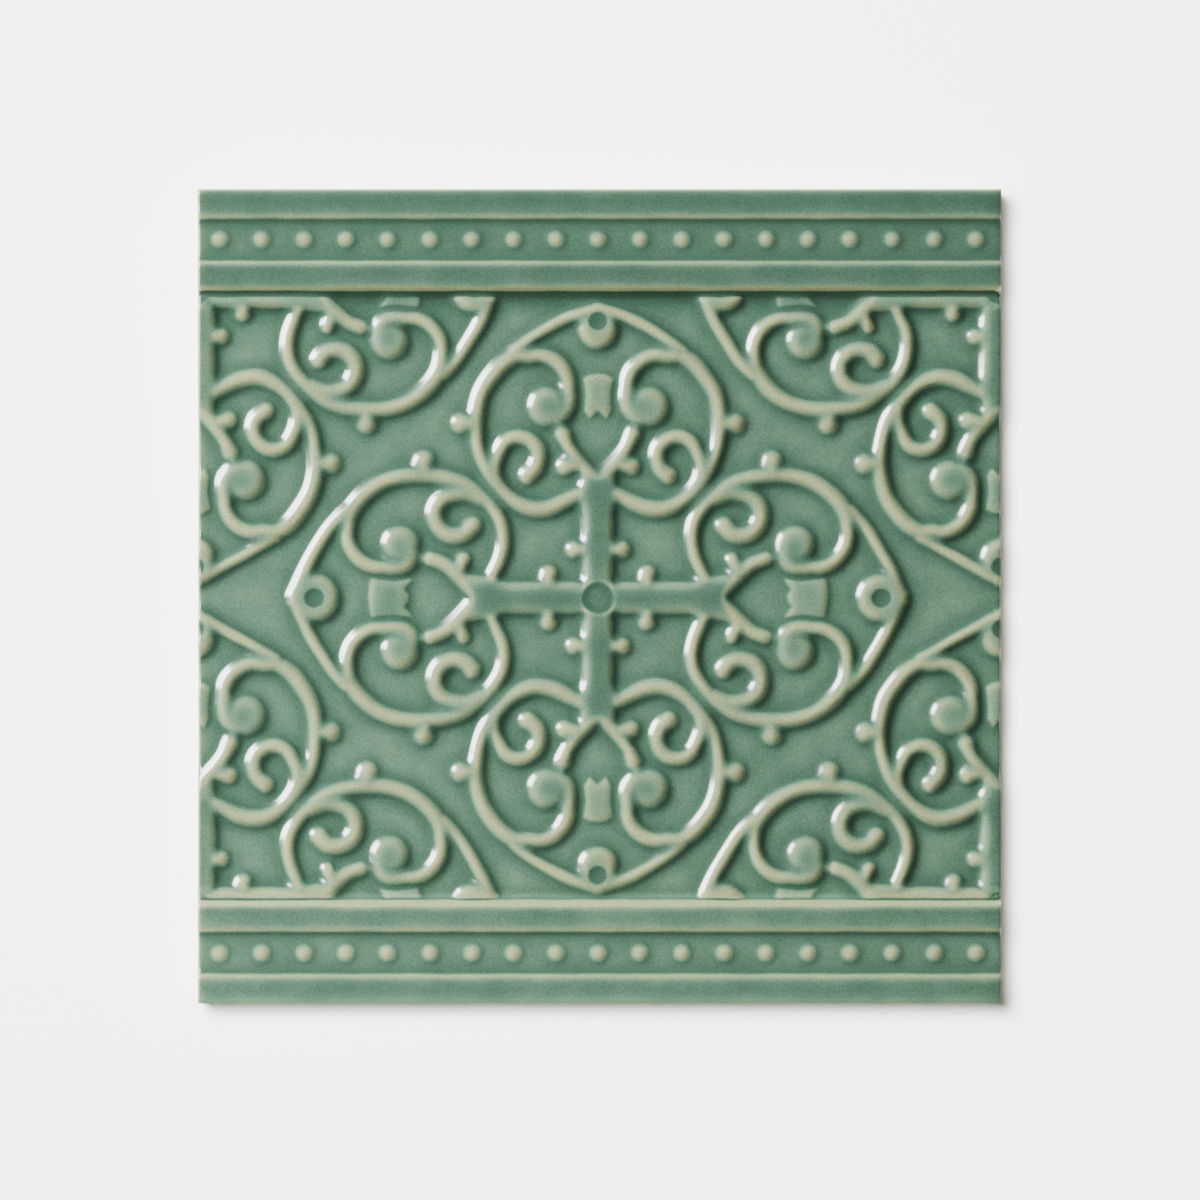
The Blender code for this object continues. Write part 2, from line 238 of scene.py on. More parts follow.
# The corner motifs have wider arms, and rim tips and arm buds of their own
CORNER_SHAPES = {
    Proportions.LONG: replace(
        SHAPES[Proportions.LONG],
        arm_bud=((9.2, 3.2, 0.9), (9.1, 4.0, 1.1), (9.0, 4.7, 1.4)),
        arm=(
            (0.0, 4.2), (17.0, 4.2), (19.0, 4.4), (21.5, 4.7), (24.0, 4.9), (25.6, 4.8),
            (25.6, 3.2), (24.4, 1.2), (23.9, 0.0),
        ),
    ),
    Proportions.BLUNT: replace(
        SHAPES[Proportions.BLUNT],
        tip=(
            (54.2, -0.4, 1.0), (53.5, 1.8, 0.95), (52.5, 3.8, 0.85), (49.3, 9.7, 0.75),
            (47.1, 13.8, 0.75), (46.3, 15.2, 0.8),
        ),
        arm_bud=((9.1, 3.2, 0.9), (9.0, 4.0, 1.1), (9.0, 4.7, 1.4)),
        arm=(
            (0.0, 4.2), (15.5, 4.2), (18.0, 4.3), (21.0, 4.1), (23.5, 3.8), (24.5, 3.2),
            (23.3, 1.0), (22.9, 0.0),
        ),
    ),
}
# How far the corner motifs are out of size: along the arm, and to the side
CORNER_SCALES = {Proportions.LONG: (0.985, 0.99), Proportions.BLUNT: (1.005, 0.99)}

# A ridge that is narrower than this to a side, in mm, stays lower than the others
FULL_HALF_WIDTH = 1.6

# The waves of a hand-cut mould: each one's mm to the radian across and along, and its phase
WAVES_ASIDE = ((1.9, 3.1, 0.0), (-4.3, 1.4, 1.7))
WAVES_AHEAD = ((-2.9, 2.1, 0.6), (1.3, 5.1, 0.0))


@dataclass(frozen=True)
class PlacedMotif:
    """A motif set down on the tile."""

    shape: MotifShape
    middle: Point
    along: Point
    scale: Point
    arm_pool: float

    def place(self, reach: float, offset: float) -> Point:
        """The x and y in mm of the point this far along the arm and this far to its side."""
        reach, offset = reach * self.scale[0], offset * self.scale[1]
        return (
            self.middle[0] + reach * self.along[0] - offset * self.along[1],
            self.middle[1] + reach * self.along[1] + offset * self.along[0],
        )

    def outline(self, half: tuple[Point, ...]) -> list[Point]:
        """The corners of a whole outline from its half, those on the arm's own line once each."""
        other_half = [(a, -b) for a, b in reversed(half) if b]
        return [self.place(a, b) for a, b in [*half, *other_half]]


@dataclass
class HeightMap:
    """Heights in mm above the sunk field, on a grid that runs past the tile's outline."""

    width: float
    length: float
    pitch: float
    margin: float
    xs: np.ndarray = field(init=False)
    ys: np.ndarray = field(init=False)
    z: np.ndarray = field(init=False)
    pooled: np.ndarray = field(init=False)

    def __post_init__(self) -> None:
        """Lays out the grid so that its lines fall on the tile's outline."""
        over = round(self.margin / self.pitch)
        columns = round(self.width / self.pitch) + 2 * over + 1
        rows = round(self.length / self.pitch) + 2 * over + 1
        self.xs = (np.arange(columns) - (columns - 1) / 2) * self.pitch
        self.ys = (np.arange(rows) - (rows - 1) / 2) * self.pitch
        self.z = np.zeros((rows, columns))
        self.pooled = np.zeros((rows, columns))

    def window(self, low: Point, high: Point) -> tuple[slice, slice]:
        """The rows and the columns that a box reaches, from its lowest and highest x and y."""
        rows = slice(*np.searchsorted(self.ys, (low[1], high[1])))
        return rows, slice(*np.searchsorted(self.xs, (low[0], high[0])))

    def raise_ridge(self, path: list[Station], rise: float, splay: float) -> None:
        """Presses a rounded ridge, with round ends, along a path.

        Args:
            path: (x, y, half width) points.
            rise: The height of its crest, wherever its half width is full.
            splay: How far its foot runs out beyond its half width.
        """
        path = [(x, y, width + splay) for x, y, width in path]
        for (x0, y0, w0), (x1, y1, w1) in zip(path, path[1:]):
            most = max(w0, w1)
            low = (min(x0, x1) - most, min(y0, y1) - most)
            high = (max(x0, x1) + most, max(y0, y1) + most)
            rows, columns = self.window(low, high)
            from_x = self.xs[columns][None, :] - x0
            from_y = self.ys[rows][:, None] - y0
            dx, dy = x1 - x0, y1 - y0
            along = np.clip((from_x * dx + from_y * dy) / max(dx * dx + dy * dy, TINY), 0.0, 1.0)
            width = w0 + (w1 - w0) * along
            off = ((from_x - dx * along) ** 2 + (from_y - dy * along) ** 2) / width**2
            fullness = np.sqrt(np.minimum(width / FULL_HALF_WIDTH, 1))
            crest = rise * fullness * np.clip(1.0 - off, 0.0, None)
            self.z[rows, columns] = np.maximum(self.z[rows, columns], crest)

    def raise_plate(
        self, outline: list[Point], rise: float, fall: float, pool: float, thin: float
    ) -> None:
        """Presses a flat-topped plate whose edge falls away softly.

        Args:
            outline: The plate's corners.
            rise: The height of its flat top.
            fall: How far in from the outline the fall reaches.
            pool: How much more glaze lies on its flat top than on the field.
            thin: How much less lies on its shoulders.
        """
        corners = np.array(outline)
        rows, columns = self.window(tuple(corners.min(axis=0)), tuple(corners.max(axis=0)))
        x = self.xs[columns][None, :]
        y = self.ys[rows][:, None]
        inside = np.zeros((y.shape[0], x.shape[1]), dtype=bool)
        inwards = np.full(inside.shape, np.inf)
        for (x0, y0), (x1, y1) in zip(outline, [*outline[1:], outline[0]]):
            crosses = (y0 > y) != (y1 > y)
            dx, dy = x1 - x0, y1 - y0
            inside ^= crosses & (x < dx * (y - y0) / (dy or TINY) + x0)
            along = np.clip(((x - x0) * dx + (y - y0) * dy) / (dx**2 + dy**2), 0.0, 1.0)
            away = np.hypot(x - x0 - dx * along, y - y0 - dy * along)
            inwards = np.minimum(inwards, away)
        share = (1 - np.clip(1 - inwards / fall, 0, 1) ** 2) * inside
        self.z[rows, columns] = np.maximum(self.z[rows, columns], rise * share)
        # The glaze pools on the flat top alone, and is thinnest halfway up the shoulders
        self.pooled[rows, columns] += pool * share**4 - 4 * thin * share * (1 - share)

    def raise_boss(
        self, middle: Point, radius: float, rise: float, fall: float, pool: float
    ) -> None:
        """Presses a round boss that falls away softly to its foot.

        Args:
            middle: Its centre.
            radius: Its radius at the foot.
            rise: The height of its top.
            fall: How far in from the foot the fall reaches.
            pool: How much more glaze lies on its top than on the field.
        """
        rows, columns, away = self.round_window(middle, radius)
        share = 1 - np.clip(1 - np.clip(radius - away, 0, None) / fall, 0, 1) ** 2
        self.z[rows, columns] = np.maximum(self.z[rows, columns], rise * share)
        self.pooled[rows, columns] = np.maximum(self.pooled[rows, columns], pool * share**2)

    def sink_well(
        self, middle: Point, radius: float, floor: float, edge: float, pool: float
    ) -> None:
        """Sinks a round well with a rounded mouth, nearly full of glaze.

        Args:
            middle: Its centre.
            radius: Its radius at the mouth.
            floor: The height that the glaze stands at in it.
            edge: How far in from the mouth its side reaches.
            pool: How much more glaze it holds than the field does.
        """
        rows, columns, away = self.round_window(middle, radius)
        now = self.z[rows, columns]
        depth = rounded((radius - away) / edge)
        self.z[rows, columns] = np.where(now > floor, now + (floor - now) * depth, now)
        self.pooled[rows, columns] += pool * depth

    def close_gaps(self, radius: float) -> None:
        """Fills the crotches that are too narrow for a round tool to reach into.

        Args:
            radius: The tool's radius, in mm.
        """
        reach = int(radius / self.pitch)
        steps = [
            (i, j)
            for i in range(-reach, reach + 1)
            for j in range(-reach, reach + 1)
            if hypot(i, j) * self.pitch <= radius
        ]
        for choose in (np.maximum, np.minimum):
            padded = np.pad(self.z, reach, mode="edge")
            closed = self.z.copy()
            for i, j in steps:
                rows = slice(reach + i, reach + i + closed.shape[0])
                columns = slice(reach + j, reach + j + closed.shape[1])
                choose(closed, padded[rows, columns], out=closed)
            self.z = closed

    def round_window(self, middle: Point, radius: float) -> tuple[slice, slice, np.ndarray]:
        """The part of the grid round a point.

        Args:
            middle: The point.
            radius: How far the part reaches.

        Returns:
            Its rows, its columns, and each place's distance from the point.
        """
        low = (middle[0] - radius, middle[1] - radius)
        high = (middle[0] + radius, middle[1] + radius)
        rows, columns = self.window(low, high)
        away = np.hypot(self.xs[columns][None, :] - middle[0], self.ys[rows][:, None] - middle[1])
        return rows, columns, away

    def levelled(self, grid: np.ndarray, spread: float) -> np.ndarray:
        """A grid after it has flowed out as a liquid film does.

        Args:
            grid: The grid, of the map's own size.
            spread: The standard deviation of the flow, in mm.

        Returns:
            A new grid.
        """
        reach = int(3 * spread / self.pitch) + 1
        weights = np.exp(-0.5 * (np.arange(-reach, reach + 1) * self.pitch / spread) ** 2)
        weights /= weights.sum()
        for axis in (0, 1):
            padding = [(reach, reach) if a == axis else (0, 0) for a in (0, 1)]
            padded = np.pad(grid, padding, mode="edge")
            flowed = np.zeros_like(grid)
            for k, weight in enumerate(weights):
                part = [slice(None), slice(None)]
                part[axis] = slice(k, k + grid.shape[axis])
                flowed += weight * padded[tuple(part)]
            grid = flowed
        return grid

    def make_uneven(self, amount: float) -> None:
        """Shifts the relief about a little, as a hand-cut mould is never quite regular.

        It moves half as far along the tile as across it, so that the mouldings stay straight.

        Args:
            amount: The most that a place moves across the tile, in mm.
        """
        x, y = np.meshgrid(self.xs, self.ys)
        shifts = []
        for waves in (WAVES_ASIDE, WAVES_AHEAD):
            parts = [np.sin(x / across + y / along + phase) for across, along, phase in waves]
            shifts.append(amount * sum(parts) / 2)
        x, y = x + shifts[0], y + shifts[1] / 2
        self.z = self.sample(self.z, x, y)
        self.pooled = self.sample(self.pooled, x, y)

    def sample(self, grid: np.ndarray, x: np.ndarray, y: np.ndarray) -> np.ndarray:
        """Reads a grid between its points.

        Args:
            grid: The grid to read, of the map's own size.
            x: The x of each place, in mm.
            y: The y of each place, in mm.

        Returns:
            The value at each place.
        """
        column = np.clip((x - self.xs[0]) / self.pitch, 0, len(self.xs) - 1.001)
        row = np.clip((y - self.ys[0]) / self.pitch, 0, len(self.ys) - 1.001)
        i, j = row.astype(int), column.astype(int)
        v, u = row - i, column - j
        near = grid[i, j] * (1 - u) + grid[i, j + 1] * u
        far = grid[i + 1, j] * (1 - u) + grid[i + 1, j + 1] * u
        return near * (1 - v) + far * v


def rounded(inwards: np.ndarray) -> np.ndarray:
    """A quarter-round edge's share of the full height, this many of its widths inwards."""
    left = 1.0 - np.clip(inwards, 0.0, 1.0)
    return np.sqrt(1.0 - left * left)


@dataclass
class Mouldings:
    """The beaded mouldings along the top and bottom edges, in mm from the outer edge."""

    outer_band: Point = (0.0, 5.6)
    inner_band: Point = (13.25, 19.05)
    rise: float = 2.6
    hollow: float = 0.2
    channel_rise: float = 1.6
    arris: float = 0.55
    fall: float = 0.5
    bead_line: float = 9.4
    bead_count: int = 19
    bead_pitch: float = 7.845
    bead_radius: float = 1.85
    bead_rise: float = 0.85
    bead_thin: float = 0.12
    # Glaze: the pools on the lower and the upper moulding, the thin line along each arris, and
    # how much of a rise of the relief, over how far, the bands hold back from running off
    band_pools: Point = (0.06, 0.2)
    channel_pools: Point = (0.0, 0.1)
    arris_line: float = 0.8
    arris_thin: float = 0.16
    band_hold: float = 0.5
    hold_reach: float = 1.6
    # Painted shade past the upper moulding's foot, where its shadow falls, and painted light past
    # the lower one's foot, from a little way up its flank, where the light falls on its upward
    # slope; and how low the relief has to lie to count as the field
    painted_foot_shade: float = 0.32
    painted_shade_reach: float = 4.0
    painted_foot_light: float = 1.15
    painted_light_reach: float = 1.3
    painted_light_up_flank: float = 0.4
    painted_light_above: float = 0.1
    on_field_below: float = 0.8

    def band(self, inwards: np.ndarray, start: float, end: float) -> np.ndarray:
        """One band's hollowed top.

        Args:
            inwards: Distances from the tile's outer edge.
            start: Where the band begins.
            end: Where it ends.

        Returns:
            The band's height, nought outside it.
        """
        across = np.clip((inwards - start - self.arris) / (end - start - 2 * self.arris), 0, 1)
        top = self.rise - self.hollow * np.sin(pi * across) ** 2
        sides = np.minimum(inwards - start, end - inwards)
        return top * rounded(np.clip(sides / self.fall, 0, 1) ** 0.5)

    def press(self, relief: HeightMap, ornament_middle: Point) -> None:
        """Presses both mouldings and their beads into the height map.

        Args:
            relief: The height map.
            ornament_middle: The middle of the ornament, which the beads are set out from.
        """
        inwards = relief.length / 2 - np.abs(relief.ys)
        outer = self.band(np.maximum(inwards, self.fall), *self.outer_band)
        inner = self.band(inwards, *self.inner_band)
        bands = np.maximum(outer, inner)
        profile = np.maximum(bands, self.up_to_channel(inwards) * self.channel_rise)
        relief.z = np.maximum(relief.z, profile[:, None])
        self.pool_on_top(relief, inwards, profile)
        # Painted shade below the upper moulding and painted light at the lower one's foot
        self.paint_shade_and_light_at_feet(relief, inwards - self.inner_band[1])
        first = ornament_middle[0] - self.bead_pitch * (self.bead_count - 1) / 2
        for side in (-1, 1):
            y = side * (relief.length / 2 - self.bead_line)
            for i in range(self.bead_count):
                self.press_bead(relief, (first + i * self.bead_pitch, y))

    def up_to_channel(self, inwards: np.ndarray) -> np.ndarray:
        """Which of these distances from the outer edge fall short of the inner band's arris."""
        return inwards < self.inner_band[0] + self.arris

    def pool_on_top(self, relief: HeightMap, inwards: np.ndarray, profile: np.ndarray) -> None:
        """Spreads the glaze on the bands and in the channels, thinly along each band's arrises.

        The upper moulding is given more depth than the lower one, so it comes out darker.

        Args:
            relief: The height map.
            inwards: Each row's distance from the tile's outer edge.
            profile: The mouldings' height at each row.
        """
        on_band = profile > self.channel_rise
        within = self.up_to_channel(inwards)
        flowed = relief.levelled(np.stack([profile] * 3, axis=1), self.hold_reach)[:, 1]
        held = self.band_hold * np.clip(profile - flowed, 0, None)
        to_arris = [
            np.minimum(inwards - start, end - inwards)
            for start, end in (self.outer_band, self.inner_band)
        ]
        # Past the tile's edge, where the grid runs on, the film is that of 1 mm outside
        inset = np.maximum(np.maximum(*to_arris), -1.0)
        firm = 1 - np.exp(-((inset / self.arris_line) ** 2))
        for upper, half in enumerate((relief.ys < 0, relief.ys > 0)):
            banded = (self.band_pools[upper] + held) * firm - self.arris_thin * (1 - firm)
            pooled = np.where(on_band, banded, within * self.channel_pools[upper])
            covered = half & (on_band | within)
            relief.pooled[covered, :] = pooled[covered, None]

    def paint_shade_and_light_at_feet(self, relief: HeightMap, past_foot: np.ndarray) -> None:
        """Paints shade past the upper moulding's foot as deeper glaze, and light past the lower
        one's as thinner glaze.

        Args:
            relief: The height map, with the mouldings.
            past_foot: Each row's distance from its moulding's foot, towards the tile's middle.
        """
        # Painted shade where the upper moulding's shadow falls, and painted light on the lower
        # one's lit foot, as deeper and thinner glaze
        painted_shade = self.painted_foot_shade * np.exp(-((past_foot / self.painted_shade_reach) ** 2)) * (relief.ys > 0)
        painted_light = self.painted_foot_light * np.exp(-((past_foot / self.painted_light_reach) ** 2)) * (relief.ys < 0)
        painted_light *= np.where(past_foot > -self.painted_light_up_flank, 1.0, self.painted_light_above)
        on_field = np.clip(1 - relief.z / self.on_field_below, 0, 1)
        relief.pooled += (painted_shade * (past_foot > 0))[:, None] * on_field
        relief.pooled -= painted_light[:, None]

    def press_bead(self, relief: HeightMap, middle: Point) -> None:
        """Presses one low domed bead into the channel.

        Args:
            relief: The height map.
            middle: The bead's centre.
        """
        rows, columns, away = relief.round_window(middle, self.bead_radius)
        dome = self.bead_rise * np.clip(1 - (away / self.bead_radius) ** 2, 0, None)
        top = self.channel_rise + dome
        relief.z[rows, columns] = np.maximum(relief.z[rows, columns], top * (dome > 0))
        relief.pooled[rows, columns] -= self.bead_thin * dome / self.bead_rise


@dataclass
class Scrollwork:
    """The cross of motifs in the middle of the tile, and the four at its corners, in mm."""

    middle: Point = (-0.3, -0.3)
    half_repeat: Point = (75.25, 57.85)
    ridge_rise: float = 1.45
    splay: float = 0.5
    melt: float = 0.7
    arm_rise: float = 1.55
    arm_fall: float = 1.9
    arm_pools: Point = (0.27, 0.18)
    arm_thin: float = 0.17
    collar_rise: float = 0.75
    collar_fall: float = 0.8
    collar_thin: float = 0.12
    disc_splay: float = 0.3
    disc_rise: float = 1.45
    disc_fall: float = 2.1
    disc_pool: float = 0.11
    eye_splay: float = 0.2
    eye_fall: float = 1.8
    eye_floor: float = 1.0
    eye_pool: float = 0.45
    eye_hole_splay: float = 0.05
    hub_radius: float = 4.3
    hub_above_arm: float = 0.2
    hub_fall: float = 1.2
    hub_well: float = 3.1
    hub_floor: float = 1.2
    hub_pool: float = 0.2
    well_edge: float = 0.5

    def press(self, relief: HeightMap) -> None:
        """Presses every motif into the height map.

        Args:
            relief: The height map, before the mouldings.
        """
        whole = {kind: (1.0, 1.0) for kind in Proportions}
        inner_pool, corner_pool = self.arm_pools
        crosses = [(self.middle, SHAPES, whole, inner_pool)]
        for x_side in (-1, 1):
            for y_side in (-1, 1):
                corner = (
                    self.middle[0] + x_side * self.half_repeat[0],
                    self.middle[1] + y_side * self.half_repeat[1],
                )
                crosses.append((corner, CORNER_SHAPES, CORNER_SCALES, corner_pool))
        motifs = []
        for middle, shapes, scales, pool in crosses:
            for along in ((1, 0), (0, 1), (-1, 0), (0, -1)):
                kind = Proportions.LONG if along[0] else Proportions.BLUNT
                motifs.append(PlacedMotif(shapes[kind], middle, along, scales[kind], pool))
        for motif in motifs:
            self.press_body(relief, motif)
        hub_rise = self.arm_rise + self.hub_above_arm
        for middle, *_ in crosses:
            relief.raise_boss(middle, self.hub_radius, hub_rise, self.hub_fall, 0.0)
        relief.close_gaps(self.melt)
        for middle, *_ in crosses:
            relief.sink_well(middle, self.hub_well, self.hub_floor, self.well_edge, self.hub_pool)
        for motif in motifs:
            self.press_details(relief, motif)

    def press_body(self, relief: HeightMap, motif: PlacedMotif) -> None:
        """Presses the parts of a motif that melt into one another.

        Args:
            relief: The height map.
            motif: The motif.
        """
        shape = motif.shape
        eye = motif.place(shape.eye[0], 0.0)
        eye_radius = shape.eye[1] + self.eye_splay
        relief.raise_boss(eye, eye_radius, self.disc_rise, self.eye_fall, 0.0)
        for side in (-1, 1):
            for path in shape.ridges():
                placed = [(*motif.place(a, side * b), w) for a, b, w in path]
                relief.raise_ridge(placed, self.ridge_rise, self.splay)
            disc = motif.place(shape.disc[0], side * shape.disc[1])
            disc_radius = shape.disc[2] + self.disc_splay
            relief.raise_boss(disc, disc_radius, self.disc_rise, self.disc_fall, self.disc_pool)
        arm = motif.outline(shape.arm)
        relief.raise_plate(arm, self.arm_rise, self.arm_fall, motif.arm_pool, self.arm_thin)

    def press_details(self, relief: HeightMap, motif: PlacedMotif) -> None:
        """Presses a motif's low collar, and the hole in its eye.

        Args:
            relief: The height map.
            motif: The motif.
        """
        shape = motif.shape
        collar = motif.outline(shape.collar)
        relief.raise_plate(collar, self.collar_rise, self.collar_fall, 0.0, self.collar_thin)
        hole = motif.place(shape.eye_hole[0], 0.0)
        hole_radius = shape.eye_hole[1] + self.eye_hole_splay
        relief.sink_well(hole, hole_radius, self.eye_floor, self.well_edge, self.eye_pool)


def linear(hex_colour: str) -> tuple[float, ...]:
    """The linear red, green and blue of an sRGB hex value such as #B0B0B0, and an alpha of 1."""
    shares = [int(hex_colour[i : i + 2], 16) / 255 for i in (1, 3, 5)]
    return (*(s / 12.92 if s <= 0.04045 else ((s + 0.055) / 1.055) ** 2.4 for s in shares), 1.0)


def add_node(
    tree: bpy.types.NodeTree,
    kind: str,
    settings: dict[str, object] | None = None,
    values: dict[str | int, object] | None = None,
    links: dict[str | int, bpy.types.NodeSocket] | None = None,
) -> bpy.types.Node:
    """Adds a node to a material.

    Args:
        tree: The material's node tree.
        kind: The node's type name.
        settings: Properties to set on the node.
        values: Values for its inputs, by name or number.
        links: Outputs to link to its inputs, by name or number.

    Returns:
        The new node.
    """
    node = tree.nodes.new(kind)
    for name, setting in (settings or {}).items():
        setattr(node, name, setting)
    for name, value in (values or {}).items():
        node.inputs[name].default_value = value
    for name, source in (links or {}).items():
        tree.links.new(source, node.inputs[name])
    return node


def new_material(name: str) -> tuple[bpy.types.Material, bpy.types.NodeTree, bpy.types.Node]:
    """A material with an empty Principled shader.

    Args:
        name: The finish's plain name.

    Returns:
        The material, its node tree and its shader.
    """
    material = bpy.data.materials.new(name)
    material.use_nodes = True
    tree = material.node_tree
    return material, tree, tree.nodes["Principled BSDF"]


def set_ramp(node: bpy.types.Node, stops: ColourStops) -> None:
    """Puts colour stops on a colour ramp.

    Args:
        node: The Color Ramp node.
        stops: (position, hex colour) pairs in rising order.
    """
    ramp = node.color_ramp
    while len(ramp.elements) < len(stops):
        ramp.elements.new(1.0)
    for element, (position, colour) in zip(ramp.elements, stops):
        element.position = position
        element.color = linear(colour)


@dataclass(frozen=True)
class SeaGreenGlaze:
    """Transparent copper-green gloss glaze, flowed over a pressed pale body and fired."""

    # Colour by depth of glaze in mm: the body shows through where it has drawn thin on a crest,
    # and it goes dark where it has pooled at a foot. The depth also carries painted shade and
    # painted light, which come out here as darker and paler green
    by_depth: ColourStops = (
        (0.00, "#C2CE96"),
        (0.15, "#AEBF8D"),
        (0.28, "#94AF87"),
        (0.40, "#7FA684"),
        (0.50, "#70997B"),
        (0.60, "#61876E"),
        (0.75, "#52765F"),
        (1.00, "#456854"),
    )
    # Fine bubbles in the glaze scatter light: a speckle of lighter and darker pin points
    bubbles: ColourStops = ((0.37, "#DFDFDF"), (0.63, "#FFFFFF"))
    roughness: float = 0.19
    ior: float = 1.5
    # Clouds: how far their depths of glaze differ, in mm, and how wide they are
    cloud_depth: float = 0.36
    cloud_mm: float = 7.0
    grain_mm: float = 0.3

    def material(self) -> bpy.types.Material:
        """Builds the glaze."""
        material, tree, shader = new_material("sea_green_gloss_glaze")
        depth = add_node(tree, "ShaderNodeAttribute", {"attribute_name": "glaze_depth_and_painted_light"})
        place = add_node(tree, "ShaderNodeTexCoord")
        cloud, grain = (
            add_node(
                tree,
                "ShaderNodeTexNoise",
                values={"Scale": 1.0 / (size * MM), "Detail": detail},
                links={"Vector": place.outputs["Object"]},
            )
            for size, detail in ((self.cloud_mm, 3.0), (self.grain_mm, 2.0))
        )
        clouded = add_node(
            tree,
            "ShaderNodeMath",
            {"operation": "MULTIPLY_ADD"},
            values={1: self.cloud_depth},
            links={0: cloud.outputs["Fac"], 2: depth.outputs["Fac"]},
        )
        centred = add_node(
            tree,
            "ShaderNodeMath",
            {"operation": "SUBTRACT"},
            values={1: self.cloud_depth / 2},
            links={0: clouded.outputs["Value"]},
        )
        ramp = add_node(tree, "ShaderNodeValToRGB", links={"Fac": centred.outputs["Value"]})
        set_ramp(ramp, self.by_depth)
        speckle = add_node(tree, "ShaderNodeValToRGB", links={"Fac": grain.outputs["Fac"]})
        set_ramp(speckle, self.bubbles)
        speckled = add_node(
            tree,
            "ShaderNodeMix",
            {"data_type": "RGBA", "blend_type": "MULTIPLY"},
            values={"Factor": 1.0},
        )
        tree.links.new(ramp.outputs["Color"], speckled.inputs[6])
        tree.links.new(speckle.outputs["Color"], speckled.inputs[7])
        tree.links.new(speckled.outputs[2], shader.inputs["Base Color"])
        shader.inputs["Roughness"].default_value = self.roughness
        shader.inputs["IOR"].default_value = self.ior
        return material


@dataclass(frozen=True)
class BiscuitClay:
    """Bare fired white earthenware, pressed against a plaster bat: matt and faintly gritty."""

    colours: ColourStops = ((0.3, "#CFC4AC"), (0.7, "#DDD4BE"))
    roughness: float = 0.85
    grit_mm: float = 0.8
    grit_height_mm: float = 0.05
    grit_strength: float = 0.4

    def material(self) -> bpy.types.Material:
        """Builds the clay."""
        material, tree, shader = new_material("bare_biscuit_clay")
        place = add_node(tree, "ShaderNodeTexCoord")
        grit = add_node(
            tree,
            "ShaderNodeTexNoise",
            values={"Scale": 1.0 / (self.grit_mm * MM), "Detail": 4.0},
            links={"Vector": place.outputs["Object"]},
        )
        ramp = add_node(tree, "ShaderNodeValToRGB", links={"Fac": grit.outputs["Fac"]})
        set_ramp(ramp, self.colours)
        tree.links.new(ramp.outputs["Color"], shader.inputs["Base Color"])
        bump = add_node(
            tree,
            "ShaderNodeBump",
            values={"Strength": self.grit_strength, "Distance": self.grit_height_mm * MM},
            links={"Height": grit.outputs["Fac"]},
        )
        tree.links.new(bump.outputs["Normal"], shader.inputs["Normal"])
        shader.inputs["Roughness"].default_value = self.roughness
        return material


